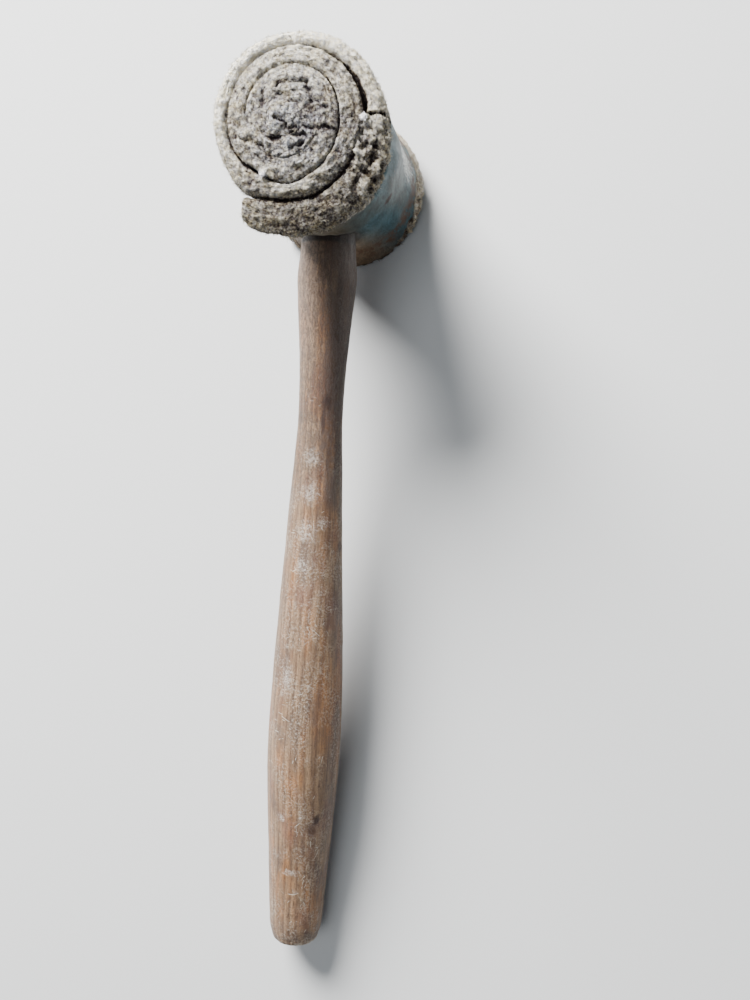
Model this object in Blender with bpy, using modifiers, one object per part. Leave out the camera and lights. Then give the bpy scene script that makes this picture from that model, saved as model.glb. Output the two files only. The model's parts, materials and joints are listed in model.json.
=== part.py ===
"""Rawhide mallet, lying as it was put down: a strip of rawhide rolled up for the head, on a turned wooden handle.

The mallet is modelled in its own axes, in millimetres times MM, and one empty then lays it down:
    x  across the head, y  along the handle from the butt to the head, z  along the head, to the front face.
It stands on the rim of its back face, tipped until the butt of the handle touches the surface at z = 0.
"""

import math

import bmesh
import bpy
from mathutils import Matrix, Vector

MM = 0.001

# The head: one strip of hide, rolled up round a fold.
HEAD_LENGTH = 82.0
LAP_RADIUS = 25.4  # outer surface at the strip's outer end, at the waist
WRAP_RADIUS = 22.3  # outer surface one turn further in, under the lap
HIDE_PITCH = 5.7  # how far each further turn lies inside the last
TURN_GAP = 0.4
LAP_ANGLE = math.radians(-122)
FOLD_ANGLE = 0.0  # the strip's inner end, folded back across the middle
WHOLE_TURNS = 4
TURNS = WHOLE_TURNS + (FOLD_ANGLE - LAP_ANGLE) / math.tau
STEPS_PER_TURN = 30
LEVELS = (-1.0, -0.93, -0.8, -0.55, -0.2, 0.2, 0.55, 0.8, 0.93, 1.0)  # shares of half the head's length

# Years of blows have spread both ends of the roll like a mushroom.
FRONT_FLARE, FRONT_FLARE_POWER = 0.25, 4
BACK_FLARE, BACK_FLARE_POWER = 0.15, 3
FLARE_ONSET_POWER = 2.2
WAIST_SHARE = 0.1  # the narrowest place, as a share of half the head's length
FRONT_LEAN = Vector((-3.4, 2.6))  # the front end has also been driven to one side
ROLL_CENTRE = Vector((-0.4, 0.4))
LIP_DEPTH = 4.0
LIP_DROP = 1.4

# The handle: distance from the head's axis, towards the butt, and radius.
HANDLE_STATIONS = (
    (24.0, 9.1),
    (31.0, 9.8),
    (38.0, 10.3),
    (47.0, 9.7),
    (58.0, 8.8),
    (70.0, 8.1),
    (87.0, 7.9),
    (104.0, 8.7),
    (132.0, 10.2),
    (165.0, 11.9),
    (198.0, 13.1),
    (220.0, 12.5),
    (243.0, 11.2),
    (266.0, 9.8),
)
BUTT_END = 277.0
BUTT_FLAT_RADIUS = 6.0
BUTT_EDGE_STEPS = 4
STATION_STEPS = 3
TENON_TOP = 25.2
TENON_TOP_RADIUS = 8.7
TENON_CHAMFER = 0.8
HANDLE_SIDES = 40
EYE_CLEARANCE = 0.3

# The wedge, driven into a saw cut across the top of the tenon.
WEDGE_LENGTH = 21.0
WEDGE_WIDTH = 15.0
WEDGE_TOP_THICKNESS = 3.4
WEDGE_TIP_THICKNESS = 0.9
KERF_CLEARANCE = 0.3

# The brads that hold the lap down, two on each side of the handle.
BRAD_LEVELS = (-0.76, -0.38, 0.38, 0.76)
BRAD_TURN = 0.036  # how far behind the strip's outer end, in turns
BRAD_LENGTH = 13.0
BRAD_SHANK_RADIUS = 0.8
BRAD_HEAD_RADIUS = 1.5
BRAD_HEAD_THICKNESS = 0.6
BRAD_TIP_LENGTH = 2.0
BRAD_SUNK = 0.9
BRAD_CLEARANCE = 0.3
BRAD_SIDES = 16


def clear_scene():
    for obj in list(bpy.data.objects):
        bpy.data.objects.remove(obj)


def new_collection(name):
    collection = bpy.data.collections.new(name)
    bpy.context.scene.collection.children.link(collection)
    return collection


def new_material(name, colour, roughness, metallic=0.0):
    material = bpy.data.materials.new(name)
    material.use_nodes = True
    shader = material.node_tree.nodes["Principled BSDF"]
    shader.inputs["Base Color"].default_value = (*colour, 1.0)
    shader.inputs["Roughness"].default_value = roughness
    shader.inputs["Metallic"].default_value = metallic
    return material


def object_of(bm, name, collection, material, parent):
    """The bmesh, drawn in millimetres, as an object in metres with rounded shading."""
    bmesh.ops.scale(bm, vec=(MM, MM, MM), verts=bm.verts)
    bmesh.ops.recalc_face_normals(bm, faces=bm.faces)
    mesh = bpy.data.meshes.new(name)
    bm.to_mesh(mesh)
    bm.free()
    mesh.shade_smooth()
    mesh.set_sharp_from_angle(angle=math.radians(35))
    return place(bpy.data.objects.new(name, mesh), collection, material, parent)


def place(obj, collection, material, parent):
    collection.objects.link(obj)
    obj.parent = parent
    if material:
        obj.data.materials.append(material)
    return obj


def as_cutter(obj):
    obj.hide_render = True
    obj.display_type = "WIRE"
    return obj


def cut(obj, cutter):
    modifier = obj.modifiers.new(f"cut_{cutter.name}", "BOOLEAN")
    modifier.operation = "DIFFERENCE"
    modifier.solver = "EXACT"
    modifier.object = cutter


def turned(name, profile, sides, collection, material, parent):
    """A turned solid about its own z axis. The profile is (radius, height) pairs in mm, from the top down."""
    bm = bmesh.new()
    points = [bm.verts.new((radius, 0, height)) for radius, height in profile]
    for upper, lower in zip(points, points[1:]):
        bm.edges.new((upper, lower))
    bmesh.ops.scale(bm, vec=(MM, MM, MM), verts=bm.verts)
    mesh = bpy.data.meshes.new(name)
    bm.to_mesh(mesh)
    bm.free()
    obj = place(bpy.data.objects.new(name, mesh), collection, material, parent)
    screw = obj.modifiers.new("turn", "SCREW")
    screw.axis = "Z"
    screw.steps = sides
    screw.render_steps = sides
    screw.use_merge_vertices = True
    screw.merge_threshold = 0.00001
    return obj


# --- the rolled head ---


def outer_radius(turns):
    """The strip's outer surface at the waist, this many turns in from its outer end."""
    if turns < 1:
        return LAP_RADIUS - (LAP_RADIUS - WRAP_RADIUS) * turns
    return WRAP_RADIUS - HIDE_PITCH * (turns - 1)


def inner_radius(turns):
    """The strip's inner surface. In the last turn its two halves close on the fold across the middle."""
    beneath = max(outer_radius(turns + 1) + TURN_GAP, TURN_GAP / 2)
    if turns < TURNS - 1:
        return beneath
    off_fold = abs(math.sin(LAP_ANGLE + turns * math.tau - FOLD_ANGLE))
    if off_fold < 1e-6:
        return beneath
    return min(beneath, TURN_GAP / 2 / off_fold)


def flare_share(share):
    """0 at the waist and 1 at the faces, for a height given as a share of half the head's length."""
    if share > WAIST_SHARE:
        reach = (share - WAIST_SHARE) / (1 - WAIST_SHARE)
    else:
        reach = (WAIST_SHARE - share) / (1 + WAIST_SHARE)
    return reach**FLARE_ONSET_POWER


def shaped(radius, angle, height):
    """Where a point of the plain straight roll lies once the ends have spread, leaned and rounded over."""
    share = height / (HEAD_LENGTH / 2)
    flare, power = (FRONT_FLARE, FRONT_FLARE_POWER) if share > WAIST_SHARE else (BACK_FLARE, BACK_FLARE_POWER)
    outwardness = radius / LAP_RADIUS
    spread = radius * (1 + flare * flare_share(share) * outwardness**power)
    into_lip = max(0.0, 1 - (HEAD_LENGTH / 2 - abs(height)) / LIP_DEPTH)
    spread -= LIP_DROP * into_lip**2 * outwardness**power
    centre = ROLL_CENTRE + FRONT_LEAN * (flare_share(share) if share > WAIST_SHARE else 0.0)
    return Vector((centre.x + spread * math.cos(angle), centre.y + spread * math.sin(angle), height))


def build_hide_roll(collection, material, parent):
    """The strip's section is a row of quads along the spiral. It is extruded level by level, then shaped."""
    bm = bmesh.new()
    steps = round(TURNS * STEPS_PER_TURN)
    rows = []
    for step in range(steps + 1):
        turns = TURNS * step / steps
        angle = LAP_ANGLE + turns * math.tau
        direction = Vector((math.cos(angle), math.sin(angle), 0))
        rows.append([bm.verts.new(direction * radius) for radius in (inner_radius(turns), outer_radius(turns))])
    for start, end in zip(rows, rows[1:]):
        bm.faces.new((start[0], end[0], end[1], start[1]))
    heights = [share * HEAD_LENGTH / 2 for share in LEVELS]
    bmesh.ops.translate(bm, vec=(0, 0, heights[0]), verts=bm.verts)
    section = [*bm.verts, *bm.edges, *bm.faces]
    for lower, upper in zip(heights, heights[1:]):
        section = bmesh.ops.extrude_face_region(bm, geom=section)["geom"]
        corners = [item for item in section if isinstance(item, bmesh.types.BMVert)]
        bmesh.ops.translate(bm, vec=(0, 0, upper - lower), verts=corners)
    for vert in bm.verts:
        vert.co = shaped(math.hypot(vert.co.x, vert.co.y), math.atan2(vert.co.y, vert.co.x), vert.co.z)
    return object_of(bm, "hide_roll", collection, material, parent)


def cut_eye(roll, cutters, parent):
    """The tapered hole across the roll that the tenon is driven into."""
    bpy.ops.mesh.primitive_cone_add(
        vertices=HANDLE_SIDES,
        radius1=(tenon_radius(-2 * TENON_TOP) + EYE_CLEARANCE) * MM,
        radius2=(tenon_radius(2 * TENON_TOP) + EYE_CLEARANCE) * MM,
        depth=4 * TENON_TOP * MM,
        rotation=(math.radians(-90), 0, 0),
    )
    eye = bpy.context.object
    eye.name = "eye_cutter"
    for collection in eye.users_collection:
        collection.objects.unlink(eye)
    cutters.objects.link(eye)
    eye.parent = parent
    cut(roll, as_cutter(eye))


# --- the handle and its wedge ---


def tenon_radius(height):
    """The tenon's radius at this height above the head's axis. It tapers towards the top of the head."""
    foot, foot_radius = HANDLE_STATIONS[0]
    share = (height + foot) / (TENON_TOP + foot)
    return foot_radius + (TENON_TOP_RADIUS - foot_radius) * share


def smooth_between(stations, steps):
    """Points on a smooth curve through the stations, steps to a stretch (a Catmull-Rom spline)."""
    ends = [stations[0], *stations, stations[-1]]
    points = []
    for before, start, end, after in zip(ends, ends[1:], ends[2:], ends[3:]):
        for step in range(steps):
            t = step / steps
            points.append(
                tuple(
                    0.5 * (2 * b + (c - a) * t + (2 * a - 5 * b + 4 * c - d) * t**2 + (3 * b - a - 3 * c + d) * t**3)
                    for a, b, c, d in zip(before, start, end, after)
                )
            )
    points.append(stations[-1])
    return points


def handle_profile():
    """(radius, height) from the top of the tenon down to the middle of the butt, in mm."""
    profile = [(0, TENON_TOP), (TENON_TOP_RADIUS - TENON_CHAMFER, TENON_TOP)]
    profile.append((TENON_TOP_RADIUS, TENON_TOP - TENON_CHAMFER))
    profile += [(radius, -distance) for distance, radius in smooth_between(HANDLE_STATIONS, STATION_STEPS)]
    last_distance, last_radius = HANDLE_STATIONS[-1]
    for step in range(1, BUTT_EDGE_STEPS + 1):
        turn = math.radians(90) * step / BUTT_EDGE_STEPS
        radius = BUTT_FLAT_RADIUS + (last_radius - BUTT_FLAT_RADIUS) * math.cos(turn)
        profile.append((radius, -last_distance - (BUTT_END - last_distance) * math.sin(turn)))
    profile.append((0, -BUTT_END))
    return profile


def wedge_shape(name, grow, collection, material, parent):
    """A wedge, thick at the top of the tenon. A kerf cutter is the same wedge grown on its faces and past the top."""
    bm = bmesh.new()
    bmesh.ops.create_cube(bm, size=1.0)
    overshoot = 2.0 if grow else 0.0
    width = 3 * TENON_TOP_RADIUS if grow else WEDGE_WIDTH
    for vert in bm.verts:
        top = vert.co.y > 0
        thickness = (WEDGE_TOP_THICKNESS if top else WEDGE_TIP_THICKNESS) + 2 * grow
        vert.co.x *= width
        vert.co.y = TENON_TOP + overshoot if top else TENON_TOP - WEDGE_LENGTH - grow
        vert.co.z *= thickness
    return object_of(bm, name, collection, material, parent)


def build_handle(collection, cutters, material, parent):
    handle = turned("handle", handle_profile(), HANDLE_SIDES, collection, material, parent)
    handle.rotation_euler = (math.radians(-90), 0, 0)
    cut(handle, as_cutter(wedge_shape("kerf_cutter", KERF_CLEARANCE, cutters, None, parent)))
    return handle


# --- the brads ---


def brad_profile(grow):
    """(radius, height) of a brad from its sunk head down. Grown, it is the hole it sits in, open at the surface."""
    head = BRAD_HEAD_RADIUS + grow
    shank = BRAD_SHANK_RADIUS + grow
    top = -BRAD_SUNK + (4 * BRAD_SUNK if grow else 0)
    under_head = -BRAD_SUNK - BRAD_HEAD_THICKNESS - grow
    tip = -BRAD_LENGTH - grow
    profile = [(0, top), (head, top), (head, under_head), (shank, under_head)]
    return [*profile, (shank, tip + BRAD_TIP_LENGTH), (0, tip)]


def build_brads(roll, collection, cutters, material, parent):
    for number, level in enumerate(BRAD_LEVELS, start=1):
        angle = LAP_ANGLE + BRAD_TURN * math.tau
        surface = shaped(outer_radius(BRAD_TURN), angle, level * HEAD_LENGTH / 2)
        outward = Vector((math.cos(angle), math.sin(angle), 0))
        stands = Matrix.Translation(surface * MM) @ outward.to_track_quat("Z", "Y").to_matrix().to_4x4()
        brad = turned(f"seam_brad_{number}", brad_profile(0), BRAD_SIDES, collection, material, parent)
        hole = turned(f"brad_cutter_{number}", brad_profile(BRAD_CLEARANCE), BRAD_SIDES, cutters, None, parent)
        brad.matrix_local = stands
        hole.matrix_local = stands
        cut(roll, as_cutter(hole))


# --- laying the mallet down ---


def resting_tilt():
    """How far the mallet tips about the back face's rim before the handle touches the surface."""
    down = math.radians(-90)
    turns = (down - LAP_ANGLE) / math.tau
    rim = -shaped(outer_radius(turns), down, -HEAD_LENGTH / 2).y
    points = [(-height, radius) for radius, height in handle_profile() if -height > rim]
    return min(math.atan2(HEAD_LENGTH / 2 - radius, distance - rim) for distance, radius in points)


def lay_down(root, collection):
    """Tips the mallet over, then moves it so that the origin is under the middle of its bounding box."""
    root.rotation_euler = (resting_tilt(), 0, 0)
    bpy.context.view_layer.update()
    graph = bpy.context.evaluated_depsgraph_get()
    corners = []
    for obj in collection.objects:
        evaluated = obj.evaluated_get(graph)
        mesh = evaluated.to_mesh()
        corners += [evaluated.matrix_world @ vert.co for vert in mesh.vertices]
        evaluated.to_mesh_clear()
    low = [min(corner[axis] for corner in corners) for axis in range(3)]
    high = [max(corner[axis] for corner in corners) for axis in range(3)]
    root.location = (-(low[0] + high[0]) / 2, -(low[1] + high[1]) / 2, -low[2])


def main():
    clear_scene()
    parts = new_collection("rawhide_mallet")
    cutters = new_collection("cutters")
    root = bpy.data.objects.new("mallet_axes", None)
    bpy.context.scene.collection.objects.link(root)

    hide = new_material("rawhide", (0.47, 0.41, 0.30), 0.75)
    handle_wood = new_material("handle_wood", (0.33, 0.20, 0.11), 0.5)
    wedge_wood = new_material("wedge_wood", (0.42, 0.29, 0.17), 0.65)
    steel = new_material("brad_steel", (0.30, 0.27, 0.24), 0.5, metallic=1.0)

    roll = build_hide_roll(parts, hide, root)
    cut_eye(roll, cutters, root)
    build_handle(parts, cutters, handle_wood, root)
    wedge_shape("handle_wedge", 0, parts, wedge_wood, root)
    build_brads(roll, parts, cutters, steel, root)
    lay_down(root, parts)


main()
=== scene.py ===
"""The looks of the rawhide mallet: a frayed roll of hide, an old handle, its wedge and the brads."""

import json
import math
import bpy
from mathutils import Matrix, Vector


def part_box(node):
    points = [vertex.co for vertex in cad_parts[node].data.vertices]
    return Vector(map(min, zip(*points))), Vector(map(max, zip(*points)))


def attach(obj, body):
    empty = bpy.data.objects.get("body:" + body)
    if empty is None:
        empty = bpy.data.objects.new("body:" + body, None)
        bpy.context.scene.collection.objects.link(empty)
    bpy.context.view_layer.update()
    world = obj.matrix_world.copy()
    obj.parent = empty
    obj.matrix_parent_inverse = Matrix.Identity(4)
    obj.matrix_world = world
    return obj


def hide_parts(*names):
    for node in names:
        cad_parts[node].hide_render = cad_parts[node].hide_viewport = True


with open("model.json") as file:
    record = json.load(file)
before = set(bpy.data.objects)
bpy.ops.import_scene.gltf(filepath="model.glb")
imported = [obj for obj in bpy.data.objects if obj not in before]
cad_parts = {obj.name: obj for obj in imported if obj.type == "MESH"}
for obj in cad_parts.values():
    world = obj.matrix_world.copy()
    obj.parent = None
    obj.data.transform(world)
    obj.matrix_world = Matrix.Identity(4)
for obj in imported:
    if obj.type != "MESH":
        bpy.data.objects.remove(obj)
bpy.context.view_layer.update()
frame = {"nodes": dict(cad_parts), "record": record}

from types import SimpleNamespace

import bmesh
import bpy
import numpy as np
from mathutils import Matrix, Vector, noise
from mathutils.bvhtree import BVHTree

# --- the mallet's own axes: x across, y along the handle to the head, z to the front face ---

MM = 0.001
MOUNTS = {mount["name"]: mount for mount in frame["record"]["mounts"]}
FACING = Vector(MOUNTS["striking_face_front"]["axis"])
ALONG = -Vector(MOUNTS["butt_face"]["axis"])
ACROSS = ALONG.cross(FACING)
BUTT_TO_HEAD = 277.0
HEAD_CENTRE = Vector(MOUNTS["butt_face"]["pos_m"]) + ALONG * BUTT_TO_HEAD * MM
MALLET_AXES = Matrix.Translation(HEAD_CENTRE) @ Matrix((ACROSS, ALONG, FACING)).transposed().to_4x4()
FRONT, BACK = (Vector(MOUNTS[f"striking_face_{end}"]["pos_m"]) for end in ("front", "back"))
HALF_HEAD = (FRONT - BACK).dot(FACING) / MM / 2

# --- the roll of hide, in mm and degrees ---

STRIP_END = -122.0  # where the strip's outer end lies, counterclockwise from the x axis
ROLLED = 1562.0  # degrees of strip, from its outer end to its inner end
LAP_RADIUS = 25.4  # the waist: at the outer end, one turn in, and the step of each further turn
WRAP_RADIUS = 22.3
HIDE_PITCH = 5.7
CLOSED_GAP = 0.15
WAIST_CENTRE = np.array((-0.4, 0.4))
FRONT_CENTRE = np.array((-6.8, 5.3))
END_SLANT = 7.0  # the strip's end is cut at a slant: its outer corner lies this many degrees back
END_SLANT_REACH = 26.0
END_SKEW = 20.0  # and it runs askew: at the back face it reaches this many degrees further
END_SKEW_REACH = 40.0
END_ROUNDING = 2.4  # degrees over which the end's edges round off
WAIST_HEIGHT = 4.0
ONSET_POWER = 2.3
BACK_ONSET_POWER = 4.2
BACK_SPREAD = 0.19
BACK_SPREAD_POWER = 3
DOME = 4.0  # how much lower the front face lies at its rim than at its middle
DOME_RADIUS = 28.0
OUTER_CROWN = 0.8  # how much the outermost turn's front bulges between its two grooves
INNER_CROWN = 0.3
# The strip's outer surface at the front face: degrees round from the strip's end, and radius.
FRONT_SPIRAL = (
    (0, 34.0), (12, 34.9), (25, 34.4), (45, 33.6), (90, 32.0), (115, 30.2), (140, 28.7),
    (180, 28.6), (215, 26.9), (240, 26.0), (310, 25.0), (336, 24.8), (350, 25.8), (361, 26.0),
    (372, 24.0), (388, 22.8), (412, 22.3), (438, 21.4), (466, 20.9), (495, 22.1), (530, 22.3),
    (565, 22.2), (600, 21.2), (650, 19.8), (700, 19.1), (716, 18.0), (748, 18.4), (780, 16.2),
    (835, 14.5), (905, 16.1), (950, 15.7), (985, 14.3), (1080, 12.0), (1160, 9.6), (1250, 9.0),
    (1340, 7.4), (1440, 5.4), (1562, 3.4),
)
# How far the turns have opened at the front face: degrees round, and width of the groove inside.
GROOVES = (
    (0, 0.3), (12, 0.9), (30, 1.1), (90, 1.1), (100, 0.9), (107, 0.1), (124, 0.1), (133, 1.7),
    (152, 1.9), (172, 1.4), (190, 0.9), (240, 0.7), (300, 0.7), (345, 0.9), (400, 0.6), (460, 0.8),
    (520, 0.7), (580, 0.7), (640, 0.4), (700, 0.2), (1562, 0.2),
)
GROOVE_DEPTH = 6.5


def smooth_curve(stations):
    """A smooth function through (place, value) stations, with slopes taken from their neighbours."""
    places = np.array([place for place, value in stations], float)
    values = np.array([value for place, value in stations], float)
    slopes = np.gradient(values, places)

    def curve(place):
        place = np.clip(place, places[0], places[-1])
        index = np.clip(np.searchsorted(places, place) - 1, 0, len(places) - 2)
        span = places[index + 1] - places[index]
        t = (place - places[index]) / span
        start, end = values[index], values[index + 1]
        bend = (t * (1 - t) ** 2) * slopes[index] - (t**2 * (1 - t)) * slopes[index + 1]
        return start + (end - start) * t**2 * (3 - 2 * t) + span * bend

    return curve


front_radius = smooth_curve(FRONT_SPIRAL)
groove_width = smooth_curve(GROOVES)


def waist_radius(round_by):
    turns = round_by / 360
    first_turn = LAP_RADIUS - (LAP_RADIUS - WRAP_RADIUS) * turns
    return np.where(turns < 1, first_turn, WRAP_RADIUS - HIDE_PITCH * (turns - 1))


def behind_waist(height):
    return np.clip((WAIST_HEIGHT - height) / (HALF_HEAD + WAIST_HEIGHT), 0, 1)


def onset(height):
    """0 at the waist, 1 at the front face, -1 at the back face."""
    forward = np.clip((height - WAIST_HEIGHT) / (HALF_HEAD - WAIST_HEIGHT), 0, 1)
    return forward**ONSET_POWER - behind_waist(height) ** BACK_ONSET_POWER


def strip_radius(round_by, height):
    """The strip's outer surface, from the roll's middle."""
    spread = onset(height)
    waist = waist_radius(round_by)
    back = waist * (1 + BACK_SPREAD * (waist / LAP_RADIUS) ** BACK_SPREAD_POWER)
    ahead, behind = np.maximum(spread, 0), np.maximum(-spread, 0)
    return waist + (front_radius(round_by) - waist) * ahead + (back - waist) * behind


def strip_inside(round_by, height):
    """Its inner surface: the turn beneath, and the gap. The last turn closes on itself."""
    beneath = round_by + 360
    depth = HALF_HEAD - height
    opening = np.clip(1 - depth / GROOVE_DEPTH, 0, 1) ** 1.5
    gap = CLOSED_GAP + (groove_width(round_by) - CLOSED_GAP) * opening
    return np.where(beneath < ROLLED, strip_radius(np.minimum(beneath, ROLLED), height), 0) + gap


def roll_centre(height):
    share = np.maximum(onset(height), 0)[..., None]
    return WAIST_CENTRE + (FRONT_CENTRE - WAIST_CENTRE) * share


# --- small helpers for shapes ---


def noise_field(points, size, octaves=1, seed=0.0):
    """Perlin noise from about -1 to 1 at each point, for lumps of this size in mm."""
    shift = Vector((seed * 17.3, seed * 5.1, seed * 9.7))
    places = (Vector(point) / size + shift for point in points.tolist())
    return np.array([noise.fractal(place, 1.0, 2.0, octaves) for place in places])


def lengths(vectors):
    return np.linalg.norm(vectors, axis=1)


def unit(vectors):
    return vectors / lengths(vectors)[:, None]


def distance_to(points, route):
    """The distance from each (x, y) point to a route of straight stretches, in mm."""
    nearest = np.full(len(points), np.inf)
    for start, end in zip(route, route[1:]):
        start, end = np.array(start, float), np.array(end, float)
        run = end - start
        share = np.clip((points - start) @ run / (run @ run), 0, 1)
        nearest = np.minimum(nearest, lengths(points - start - share[:, None] * run))
    return nearest


def link_object(name, data):
    obj = bpy.data.objects.new(name, data)
    bpy.context.scene.collection.objects.link(obj)
    return obj


def mesh_object(name, points, faces):
    """A smooth object, from points in mm in the mallet's axes."""
    mesh = bpy.data.meshes.new(name)
    mesh.from_pydata((np.asarray(points) * MM).tolist(), [], faces)
    mesh.shade_smooth()
    obj = link_object(name, mesh)
    obj.matrix_world = MALLET_AXES
    return obj


def set_attribute(obj, name, values, kind="FLOAT"):
    attribute = obj.data.attributes.new(name, kind, "POINT")
    field = "vector" if kind == "FLOAT_VECTOR" else "value"
    attribute.data.foreach_set(field, np.asarray(values, np.float32).ravel())


def read_values(data, name, width):
    values = np.zeros(len(data) * width, np.float32)
    data.foreach_get(name, values)
    return values.astype(float)


def points_and_normals(obj):
    """The points of an object's mesh, in mm, and its normals there."""
    points, normals = (read_values(obj.data.vertices, name, 3) for name in ("co", "normal"))
    return points.reshape(-1, 3) / MM, normals.reshape(-1, 3)


def move_points(obj, points):
    obj.data.vertices.foreach_set("co", (points * MM).astype(np.float32).ravel())
    obj.data.update()


def face_outward(obj):
    bm = bmesh.new()
    bm.from_mesh(obj.data)
    bmesh.ops.recalc_face_normals(bm, faces=bm.faces)
    bm.to_mesh(obj.data)
    bm.free()


def wrapped(angle):
    """The same angle in degrees, from -180 to 180."""
    return (angle + 180) % 360 - 180


def smoothstep(low, high, value):
    t = np.clip((value - low) / (high - low), 0, 1)
    return t * t * (3 - 2 * t)


# --- the roll's mesh ---

TENON_RADIUS = 8.7
NECK_RADIUS = 9.4
FRONT_LIP = 2.8  # rounding of the strip's outer edge on the outermost turn
INNER_LIP = 0.9  # and on the turns inside it
SIDE_ROWS = 42
FACE_STEP = 0.45
CRACK_AT = 128.0  # a break right across the outermost turn
FINE_STEP = 0.22


def strip_columns():
    """Degrees round at which the strip's section is drawn, closer where the crack is."""
    columns = [0.0]
    while columns[-1] < ROLLED:
        here = columns[-1]
        near_crack = abs(here - CRACK_AT) < 4
        radius = max(float(front_radius(here)), 6.0)
        columns.append(here + math.degrees((FINE_STEP if near_crack else FACE_STEP) / radius))
    columns[-1] = ROLLED
    return np.array(columns)


def section_rows():
    """The strip's section as (side, place) rows. Sides: 0 outer, 1 the front's outer corner, 2 front,
    3 the front's inner corner, 4 inner, and 5 to 7 the same at the back."""
    rows = [(0, -math.cos(math.pi * step / (SIDE_ROWS - 1))) for step in range(SIDE_ROWS)]
    rows += [(1, math.radians(turn)) for turn in (14, 30, 46, 62, 77)]
    rows += [(2, step / 13) for step in range(14)]
    rows += [(3, math.radians(turn)) for turn in (70, 45, 20)]
    rows += [(4, place) for place in (1.0, 0.97, 0.92, 0.84, 0.5, 0.0, -0.5, -0.84, -0.95, -1.0)]
    rows += [(5, math.radians(turn)) for turn in (30, 60)]
    rows += [(6, step / 9) for step in range(10)]
    rows += [(7, math.radians(turn)) for turn in (70, 45, 20)]
    return rows


def strip_points(columns, rows):
    """The plain roll: the point of each row and column, and how deep in the strip it lies."""
    outer_turn = smoothstep(400, 340, columns)
    pressed = 1 - 0.7 * smoothstep(740, 900, columns)
    lip = (INNER_LIP + (FRONT_LIP - INNER_LIP) * outer_turn) * pressed
    grid = np.zeros((len(rows), len(columns), 3))
    inset_grid = np.zeros((len(rows), len(columns)))
    full = HALF_HEAD * np.ones_like(columns)
    thickness = strip_radius(columns, full) - strip_inside(columns, full)
    thin = thickness * 0.45
    edge_out, edge_in = np.minimum(lip, thin), np.minimum(INNER_LIP * pressed, thin)
    across = thickness - edge_out - edge_in
    for index, (side, place) in enumerate(rows):
        drop, draw = 1 - math.sin(place), 1 - math.cos(place)
        height, inset = (
            ((full - edge_out) * place, 0 * full),
            (full - edge_out * drop, edge_out * draw),
            (full, edge_out + across * place),
            (full - edge_in * drop, thickness - edge_in * draw),
            ((full - edge_in) * place, thickness),
            (-full + edge_in * drop, thickness - edge_in * draw),
            (-full, thickness - edge_in - across * place),
            (-full + edge_out * drop, edge_out * draw),
        )[side]
        outside, inside = strip_radius(columns, height), strip_inside(columns, height)
        share = inset / thickness
        into_end = np.clip(1 - columns / END_ROUNDING, 0, 1)
        share = 0.5 + (share - 0.5) * (0.74 + 0.26 * np.sqrt(1 - into_end**2))
        radius = outside + (inside - outside) * share
        slant = END_SLANT * (1 - share) * np.exp(-columns / END_SLANT_REACH)
        skew = END_SKEW * behind_waist(height) * np.exp(-columns / END_SKEW_REACH)
        angle = np.radians(columns + STRIP_END + slant * np.maximum(onset(height), 0) - skew)
        middle = roll_centre(height)
        grid[index, :, 0] = middle[:, 0] + radius * np.cos(angle)
        grid[index, :, 1] = middle[:, 1] + radius * np.sin(angle)
        crown = INNER_CROWN + (OUTER_CROWN - INNER_CROWN) * outer_turn
        off_middle = 2 * np.clip(inset / thickness, 0, 1) - 1
        lowered = DOME * (radius / DOME_RADIUS) ** 2 + crown * off_middle**2
        grid[index, :, 2] = height - lowered * np.maximum(onset(height), 0)
        inset_grid[index] = inset
    return grid, inset_grid


def build_roll():
    columns, rows = strip_columns(), section_rows()
    grid, insets = strip_points(columns, rows)
    height, width = len(rows), len(columns)
    arc = np.concatenate([[0], np.cumsum(np.radians(np.diff(columns)) * front_radius(columns[1:]))])
    points = grid.reshape(-1, 3)
    ravelled = np.tile(columns, height)
    along_strip = np.stack([np.tile(arc, height), insets.ravel(), points[:, 2]], axis=1)

    faces = []
    for row in range(height):
        low, high = row * width, (row + 1) % height * width
        for column in range(width - 1):
            faces.append((low + column, low + column + 1, high + column + 1, high + column))
    faces.append([row * width for row in range(height)])
    faces.append([row * width + width - 1 for row in reversed(range(height))])
    roll = mesh_object("worn_hide_roll", points, faces)
    face_outward(roll)
    shape_roll(roll, ravelled, along_strip)
    return roll


CORE_CRACKS = (
    ((15.6, 8.0), (15.0, 5.0), (11.5, 3.0), (8.4, 2.6), (3.2, 2.9), (-2.0, 2.7), (-7.3, 2.5)),
    ((-9.6, -5.5), (-5.9, -3.9), (-1.8, -1.8)),
    ((-15.5, 8.5), (-13.0, 11.8), (-8.0, 12.6)),
    ((-17.0, 1.5), (-13.0, -0.5), (-9.0, -0.2)),
    ((-16.1, 9.8), (-14.1, 13.1), (-10.5, 15.3), (-5.9, 16.4), (-1.3, 16.1), (3.4, 14.2), (6.6, 11.4)),
    ((-23.1, -0.3), (-18.3, -1.7), (-14.7, -3.1), (-11.9, -5.9)),
    ((-10.8, 5.1), (-7.6, 3.7), (-5.9, 0.8), (-1.3, 0.2)),
    ((-2.0, 15.6), (-0.3, 11.2), (4.5, 8.4)),
)
PALE_TUFTS = ((15.8, 6.6, 1.1), (-14.2, -10.9, 1.2))
TORN_PATCHES = ((-14.0, 0.5, 8.5), (-5.0, 9.0, 6.0), (0.0, -7.0, 6.0))  # x, y and reach
LEDGE = 0.3  # height of one torn layer
FUZZ_REACH = 6.5  # how far the frayed band reaches down the side from the front face
BACK_FUZZ_REACH = 10.0
FUZZ_COUNT = 19000
TUFT_COUNT = 250  # fibres in each white tuft
TUFT_PROUD = 0.4
TUFT_THICKENING = 2.2
FACE_INTERIOR = 24.0  # nearer the middle than this, the fibres are trodden short
SHORTENED = 0.55
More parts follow.
